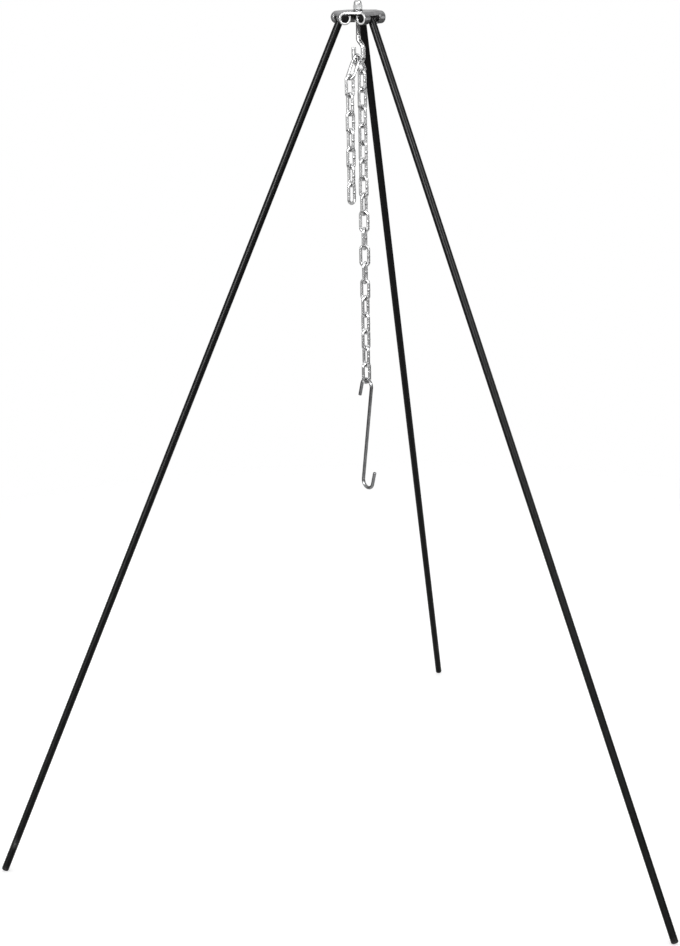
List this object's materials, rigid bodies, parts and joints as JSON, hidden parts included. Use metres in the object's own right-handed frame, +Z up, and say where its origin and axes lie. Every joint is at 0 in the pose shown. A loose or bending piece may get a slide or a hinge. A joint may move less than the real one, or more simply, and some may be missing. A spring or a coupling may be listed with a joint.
{
  "type": "cooking tripod",
  "caption": "Folding camp cooking tripod: rod legs hinged under a rolled sheet head, with a swivel hook, a hanging chain and an S-hook.",
  "frame": {"origin": "on the ground, under the middle of the box that the three feet span", "axes": "+Z up, +Y toward the back leg, +X to the right as seen from the front"},
  "size_m": [0.9474, 0.8218, 1.1834],
  "materials": {
    "black_paint": "satin black paint over round steel rod, a little worn near the head and the feet",
    "bright_zinc": "bright zinc plate over steel wire, lightly scuffed where pieces rub",
    "dull_zinc": "dull grey zinc plate, uneven and lightly stained"
  },
  "bodies": {
    "head": {"head_plate": "dull_zinc"},
    "leg_back": {"leg_rod_back": "black_paint", "cross_bar_back": "black_paint"},
    "leg_left": {"leg_rod_left": "black_paint", "cross_bar_left": "black_paint"},
    "leg_right": {"leg_rod_right": "black_paint", "cross_bar_right": "black_paint"},
    "swivel": {"swivel_hook": "bright_zinc", "nut_washer": "bright_zinc", "dome_nut": "bright_zinc"},
    "hooked_link": {"hooked_link": "bright_zinc"},
    "strand_link_01": {"strand_link_01": "bright_zinc"},
    "strand_link_02": {"strand_link_02": "bright_zinc"},
    "strand_link_03": {"strand_link_03": "bright_zinc"},
    "strand_link_04": {"strand_link_04": "bright_zinc"},
    "strand_link_05": {"strand_link_05": "bright_zinc"},
    "strand_link_06": {"strand_link_06": "bright_zinc"},
    "strand_link_07": {"strand_link_07": "bright_zinc"},
    "strand_link_08": {"strand_link_08": "bright_zinc"},
    "strand_link_09": {"strand_link_09": "bright_zinc"},
    "strand_link_10": {"strand_link_10": "bright_zinc"},
    "strand_link_11": {"strand_link_11": "bright_zinc"},
    "strand_link_12": {"strand_link_12": "bright_zinc"},
    "strand_link_13": {"strand_link_13": "bright_zinc"},
    "strand_link_14": {"strand_link_14": "bright_zinc"},
    "strand_link_15": {"strand_link_15": "bright_zinc"},
    "strand_link_16": {"strand_link_16": "bright_zinc"},
    "strand_link_17": {"strand_link_17": "bright_zinc"},
    "strand_link_18": {"strand_link_18": "bright_zinc"},
    "tail_link_01": {"tail_link_01": "bright_zinc"},
    "tail_link_02": {"tail_link_02": "bright_zinc"},
    "tail_link_03": {"tail_link_03": "bright_zinc"},
    "tail_link_04": {"tail_link_04": "bright_zinc"},
    "tail_link_05": {"tail_link_05": "bright_zinc"},
    "tail_link_06": {"tail_link_06": "bright_zinc"},
    "tail_link_07": {"tail_link_07": "bright_zinc"},
    "tail_link_08": {"tail_link_08": "bright_zinc"},
    "s_hook": {"s_hook": "dull_zinc"}
  },
  "joints": [
    {"name": "leg_back_fold", "type": "hinge", "parent": "head", "child": "leg_back", "pos_m": [0, -0.11197, 1.16052], "axis": [1, 0, 0], "range_deg": [-24.12, 18]},
    {"name": "leg_left_fold", "type": "hinge", "parent": "head", "child": "leg_left", "pos_m": [-0.02018, -0.14692, 1.16052], "axis": [-0.5, 0.866, 0], "range_deg": [-24.12, 18]},
    {"name": "leg_right_fold", "type": "hinge", "parent": "head", "child": "leg_right", "pos_m": [0.02018, -0.14692, 1.16052], "axis": [-0.5, -0.866, 0], "range_deg": [-24.12, 18]},
    {"name": "hook_swivel", "type": "hinge", "parent": "head", "child": "swivel", "pos_m": [0, -0.13527, 1.16052], "axis": [0, 0, -1], "continuous": true},
    {"name": "hooked_link_rock", "type": "hinge", "parent": "swivel", "child": "hooked_link", "pos_m": [0, -0.13527, 1.10202], "axis": [0.8829, -0.4695, 0], "range_deg": [-3, 8]},
    {"name": "strand_link_01_swing", "type": "hinge", "parent": "hooked_link", "child": "strand_link_01", "pos_m": [0.0031, -0.12943, 1.08743], "axis": [0.5592, 0.829, 0], "range_deg": [-20, 40]},
    {"name": "strand_link_02_swing", "type": "hinge", "parent": "strand_link_01", "child": "strand_link_02", "pos_m": [0.0031, -0.12943, 1.06393], "axis": [-0.788, 0.6157, 0], "range_deg": [-20, 3]},
    {"name": "strand_link_03_swing", "type": "hinge", "parent": "strand_link_02", "child": "strand_link_03", "pos_m": [0.0031, -0.12943, 1.04043], "axis": [0.5878, 0.809, 0], "range_deg": [-20, 40]},
    {"name": "strand_link_04_swing", "type": "hinge", "parent": "strand_link_03", "child": "strand_link_04", "pos_m": [0.0031, -0.12943, 1.01693], "axis": [0.829, -0.5592, 0], "range_deg": [-5, 40]},
    {"name": "strand_link_05_swing", "type": "hinge", "parent": "strand_link_04", "child": "strand_link_05", "pos_m": [0.0031, -0.12943, 0.99343], "axis": [0.4848, 0.8746, 0], "range_deg": [-20, 40]},
    {"name": "strand_link_06_swing", "type": "hinge", "parent": "strand_link_05", "child": "strand_link_06", "pos_m": [0.0031, -0.12943, 0.96993], "axis": [-0.8746, 0.4848, 0], "range_deg": [-20, 9]},
    {"name": "strand_link_07_swing", "type": "hinge", "parent": "strand_link_06", "child": "strand_link_07", "pos_m": [0.0031, -0.12943, 0.94643], "axis": [-0.3746, -0.9272, 0], "range_deg": [-20, 40]},
    {"name": "strand_link_08_swing", "type": "hinge", "parent": "strand_link_07", "child": "strand_link_08", "pos_m": [0.0031, -0.12943, 0.92293], "axis": [0.9455, -0.3256, 0], "range_deg": [-20, 40]},
    {"name": "strand_link_09_swing", "type": "hinge", "parent": "strand_link_08", "child": "strand_link_09", "pos_m": [0.0031, -0.12943, 0.89943], "axis": [-0.1736, -0.9848, 0], "range_deg": [-20, 40]},
    {"name": "strand_link_10_swing", "type": "hinge", "parent": "strand_link_09", "child": "strand_link_10", "pos_m": [0.0031, -0.12943, 0.87593], "axis": [0.9945, -0.1045, 0], "range_deg": [-20, 40]},
    {"name": "strand_link_11_swing", "type": "hinge", "parent": "strand_link_10", "child": "strand_link_11", "pos_m": [0.0031, -0.12943, 0.85243], "axis": [0, 1, 0], "range_deg": [-20, 40]},
    {"name": "strand_link_12_swing", "type": "hinge", "parent": "strand_link_11", "child": "strand_link_12", "pos_m": [0.0031, -0.12943, 0.82893], "axis": [0.9945, -0.1045, 0], "range_deg": [-20, 40]},
    {"name": "strand_link_13_swing", "type": "hinge", "parent": "strand_link_12", "child": "strand_link_13", "pos_m": [0.0031, -0.12943, 0.80543], "axis": [-0.2924, -0.9563, 0], "range_deg": [-20, 40]},
    {"name": "strand_link_14_swing", "type": "hinge", "parent": "strand_link_13", "child": "strand_link_14", "pos_m": [0.0031, -0.12943, 0.78193], "axis": [0.891, -0.454, 0], "range_deg": [-20, 40]},
    {"name": "strand_link_15_swing", "type": "hinge", "parent": "strand_link_14", "child": "strand_link_15", "pos_m": [0.0031, -0.12943, 0.75843], "axis": [0.5299, 0.848, 0], "range_deg": [-20, 40]},
    {"name": "strand_link_16_swing", "type": "hinge", "parent": "strand_link_15", "child": "strand_link_16", "pos_m": [0.0031, -0.12943, 0.73493], "axis": [0.829, -0.5592, 0], "range_deg": [-20, 40]},
    {"name": "strand_link_17_swing", "type": "hinge", "parent": "strand_link_16", "child": "strand_link_17", "pos_m": [0.0031, -0.12943, 0.71143], "axis": [-0.6691, -0.7431, 0], "range_deg": [-20, 40]},
    {"name": "strand_link_18_swing", "type": "hinge", "parent": "strand_link_17", "child": "strand_link_18", "pos_m": [0.0031, -0.12943, 0.68793], "axis": [-0.7771, 0.6293, 0], "range_deg": [-20, 40]},
    {"name": "tail_link_01_swing", "type": "hinge", "parent": "hooked_link", "child": "tail_link_01", "pos_m": [-0.0031, -0.1411, 1.10276], "axis": [-0.4086, -0.7685, 0.4924], "range_deg": [-20, 36]},
    {"name": "tail_link_02_swing", "type": "hinge", "parent": "tail_link_01", "child": "tail_link_02", "pos_m": [-0.00853, -0.15131, 1.08231], "axis": [0.7431, -0.6691, 0], "range_deg": [-20, 3]},
    {"name": "tail_link_03_swing", "type": "hinge", "parent": "tail_link_02", "child": "tail_link_03", "pos_m": [-0.00853, -0.15131, 1.05881], "axis": [0.6691, 0.7431, 0], "range_deg": [-20, 40]},
    {"name": "tail_link_04_swing", "type": "hinge", "parent": "tail_link_03", "child": "tail_link_04", "pos_m": [-0.00853, -0.15131, 1.03531], "axis": [0.809, -0.5878, 0], "range_deg": [-20, 4]},
    {"name": "tail_link_05_swing", "type": "hinge", "parent": "tail_link_04", "child": "tail_link_05", "pos_m": [-0.00853, -0.15131, 1.01181], "axis": [-0.6691, -0.7431, 0], "range_deg": [-20, 40]},
    {"name": "tail_link_06_swing", "type": "hinge", "parent": "tail_link_05", "child": "tail_link_06", "pos_m": [-0.00853, -0.15131, 0.98831], "axis": [-0.809, 0.5878, 0], "range_deg": [-8, 40]},
    {"name": "tail_link_07_swing", "type": "hinge", "parent": "tail_link_06", "child": "tail_link_07", "pos_m": [-0.00853, -0.15131, 0.96481], "axis": [0.6691, 0.7431, 0], "range_deg": [-20, 40]},
    {"name": "tail_link_08_swing", "type": "hinge", "parent": "tail_link_07", "child": "tail_link_08", "pos_m": [-0.00853, -0.15131, 0.94131], "axis": [-0.866, 0.5, 0], "range_deg": [-20, 40]},
    {"name": "s_hook_swing", "type": "hinge", "parent": "strand_link_18", "child": "s_hook", "pos_m": [0.0031, -0.12943, 0.66443], "axis": [0.6293, 0.7771, 0], "range_deg": [-20, 20]}
  ]
}
